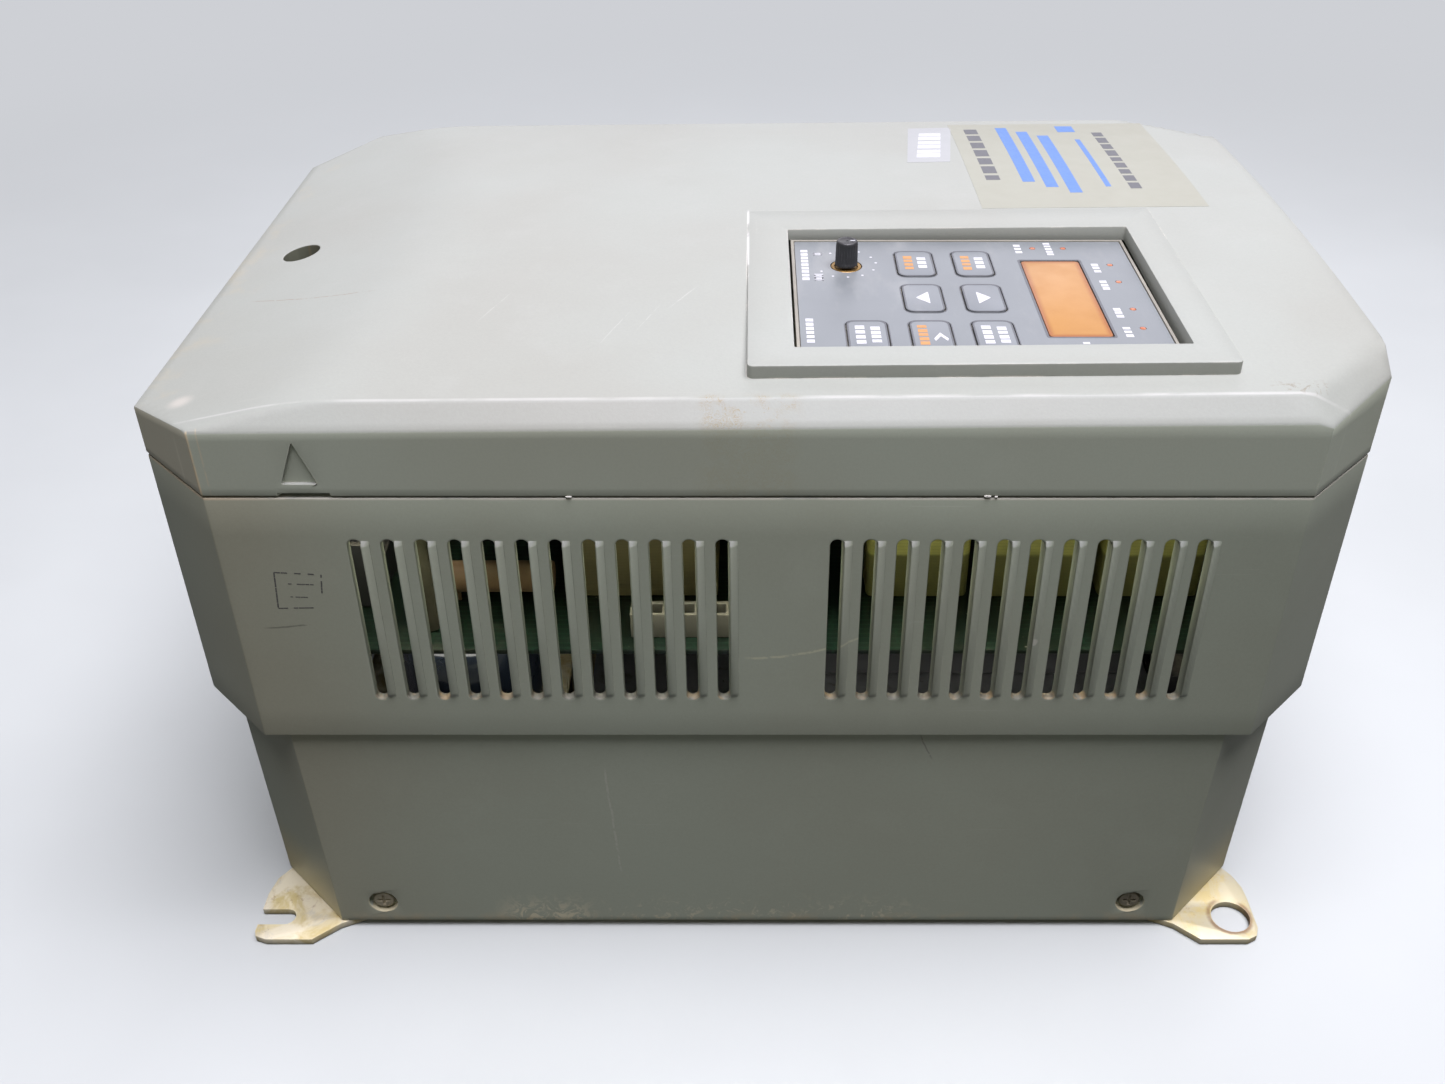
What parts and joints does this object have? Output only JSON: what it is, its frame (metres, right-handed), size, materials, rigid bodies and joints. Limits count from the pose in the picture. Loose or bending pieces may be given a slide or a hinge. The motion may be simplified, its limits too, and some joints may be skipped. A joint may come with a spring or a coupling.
{
  "type": "servo drive",
  "caption": "Wall-mounted motor drive in a grey louvred housing with a hinged crowned cover, a recessed keypad with display and knob, rear cooling fans and corner mounting ears.",
  "frame": {"origin": "centre of the mounting plate rear face", "axes": "+X to the top end of the drive, +Z out of the front cover, -Y to its right-hand side seen from the front"},
  "size_m": [0.364, 0.2654, 0.2214],
  "materials": {
    "housing": "fine moulded texture, scuffed edges",
    "gland_grey": "satin paint",
    "zinc_yellow": "yellow zinc plate, stained",
    "screw_steel": "plated steel",
    "heatsink_aluminium": "extruded, plain",
    "capacitor_sleeve": "shrink sleeve",
    "black_plastic": "moulded, fine texture",
    "operator_grey": "moulded",
    "knob_black": "knurled",
    "board_green": "solder mask",
    "copper_bar": "bare copper",
    "film_yellow": "polyester tape and epoxy box",
    "relay_blue": "moulded",
    "resistor_ceramic": "matt ceramic",
    "connector_grey": "moulded",
    "terminal_green": "moulded",
    "overlay_blue_grey": "printed polyester film",
    "key_blue_grey": "printed polyester film",
    "display_amber": "tinted filter",
    "lamp_orange": "clear tinted",
    "brass_bushing": "turned, worn"
  },
  "bodies": {
    "chassis": {"upper_housing": "housing", "lower_shell": "housing", "gland_plate": "gland_grey", "mounting_plate": "zinc_yellow", "control_tray": "zinc_yellow", "operator_bracket": "zinc_yellow", "capacitor_clamp": "zinc_yellow", "side_screw_1": "screw_steel", "side_screw_2": "screw_steel", "side_screw_3": "screw_steel", "side_screw_4": "screw_steel", "fan_guard_left": "screw_steel", "fan_guard_right": "screw_steel", "heatsink": "heatsink_aluminium", "dc_capacitor_1": "capacitor_sleeve", "dc_capacitor_2": "capacitor_sleeve", "dc_capacitor_3": "capacitor_sleeve", "dc_capacitor_4": "capacitor_sleeve", "igbt_module": "black_plastic", "rectifier_module": "black_plastic", "main_terminal_block": "black_plastic", "fan_frame_left": "black_plastic", "fan_frame_right": "black_plastic", "current_sensor_1": "black_plastic", "current_sensor_2": "black_plastic", "current_sensor_3": "black_plastic", "operator_case": "operator_grey", "power_board": "board_green", "control_board": "board_green", "operator_board": "board_green", "busbar_positive": "copper_bar", "busbar_negative": "copper_bar", "film_capacitor_1": "film_yellow", "film_capacitor_2": "film_yellow", "film_capacitor_3": "film_yellow", "power_supply_transformer": "film_yellow", "precharge_relay": "relay_blue", "power_resistor": "resistor_ceramic", "board_connector": "connector_grey", "control_terminal_block": "terminal_green", "ribbon_cable": "connector_grey", "operator_overlay": "overlay_blue_grey", "display_window": "display_amber", "display_module": "display_amber", "indicator_light_pipe": "lamp_orange", "potentiometer_body": "brass_bushing"},
    "front_cover": {"front_cover": "housing", "cover_screw": "screw_steel"},
    "frequency_knob": {"frequency_knob": "knob_black", "potentiometer_shaft": "screw_steel"},
    "fan_rotor_left": {"fan_rotor_left": "black_plastic"},
    "fan_rotor_right": {"fan_rotor_right": "black_plastic"},
    "key_forward_reverse": {"key_forward_reverse": "key_blue_grey"},
    "key_run_stop": {"key_run_stop": "key_blue_grey"},
    "key_down": {"key_down": "key_blue_grey"},
    "key_up": {"key_up": "key_blue_grey"},
    "key_read_enter": {"key_read_enter": "key_blue_grey"},
    "key_reset": {"key_reset": "key_blue_grey"},
    "key_display_function": {"key_display_function": "key_blue_grey"}
  },
  "joints": [
    {"name": "cover_hinge", "type": "hinge", "parent": "chassis", "child": "front_cover", "pos_m": [0.1823, 0, 0.1822], "axis": [0, 1, 0], "range_deg": [0, 75]},
    {"name": "frequency_knob_turn", "type": "hinge", "parent": "chassis", "child": "frequency_knob", "pos_m": [0.0288, -0.0325, 0.2132], "axis": [0, 0, 1], "range_deg": [-150, 150]},
    {"name": "fan_left_spin", "type": "hinge", "parent": "chassis", "child": "fan_rotor_left", "pos_m": [0.1557, 0.046, 0.044], "axis": [1, 0, 0], "continuous": true},
    {"name": "fan_right_spin", "type": "hinge", "parent": "chassis", "child": "fan_rotor_right", "pos_m": [0.1557, -0.046, 0.044], "axis": [1, 0, 0], "continuous": true},
    {"name": "key_forward_reverse_press", "type": "slide", "parent": "chassis", "child": "key_forward_reverse", "axis": [0, 0, 1], "range_m": [-0.0005, 0]},
    {"name": "key_run_stop_press", "type": "slide", "parent": "chassis", "child": "key_run_stop", "axis": [0, 0, 1], "range_m": [-0.0005, 0]},
    {"name": "key_down_press", "type": "slide", "parent": "chassis", "child": "key_down", "axis": [0, 0, 1], "range_m": [-0.0005, 0]},
    {"name": "key_up_press", "type": "slide", "parent": "chassis", "child": "key_up", "axis": [0, 0, 1], "range_m": [-0.0005, 0]},
    {"name": "key_read_enter_press", "type": "slide", "parent": "chassis", "child": "key_read_enter", "axis": [0, 0, 1], "range_m": [-0.0005, 0]},
    {"name": "key_reset_press", "type": "slide", "parent": "chassis", "child": "key_reset", "axis": [0, 0, 1], "range_m": [-0.0005, 0]},
    {"name": "key_display_function_press", "type": "slide", "parent": "chassis", "child": "key_display_function", "axis": [0, 0, 1], "range_m": [-0.0005, 0]}
  ]
}
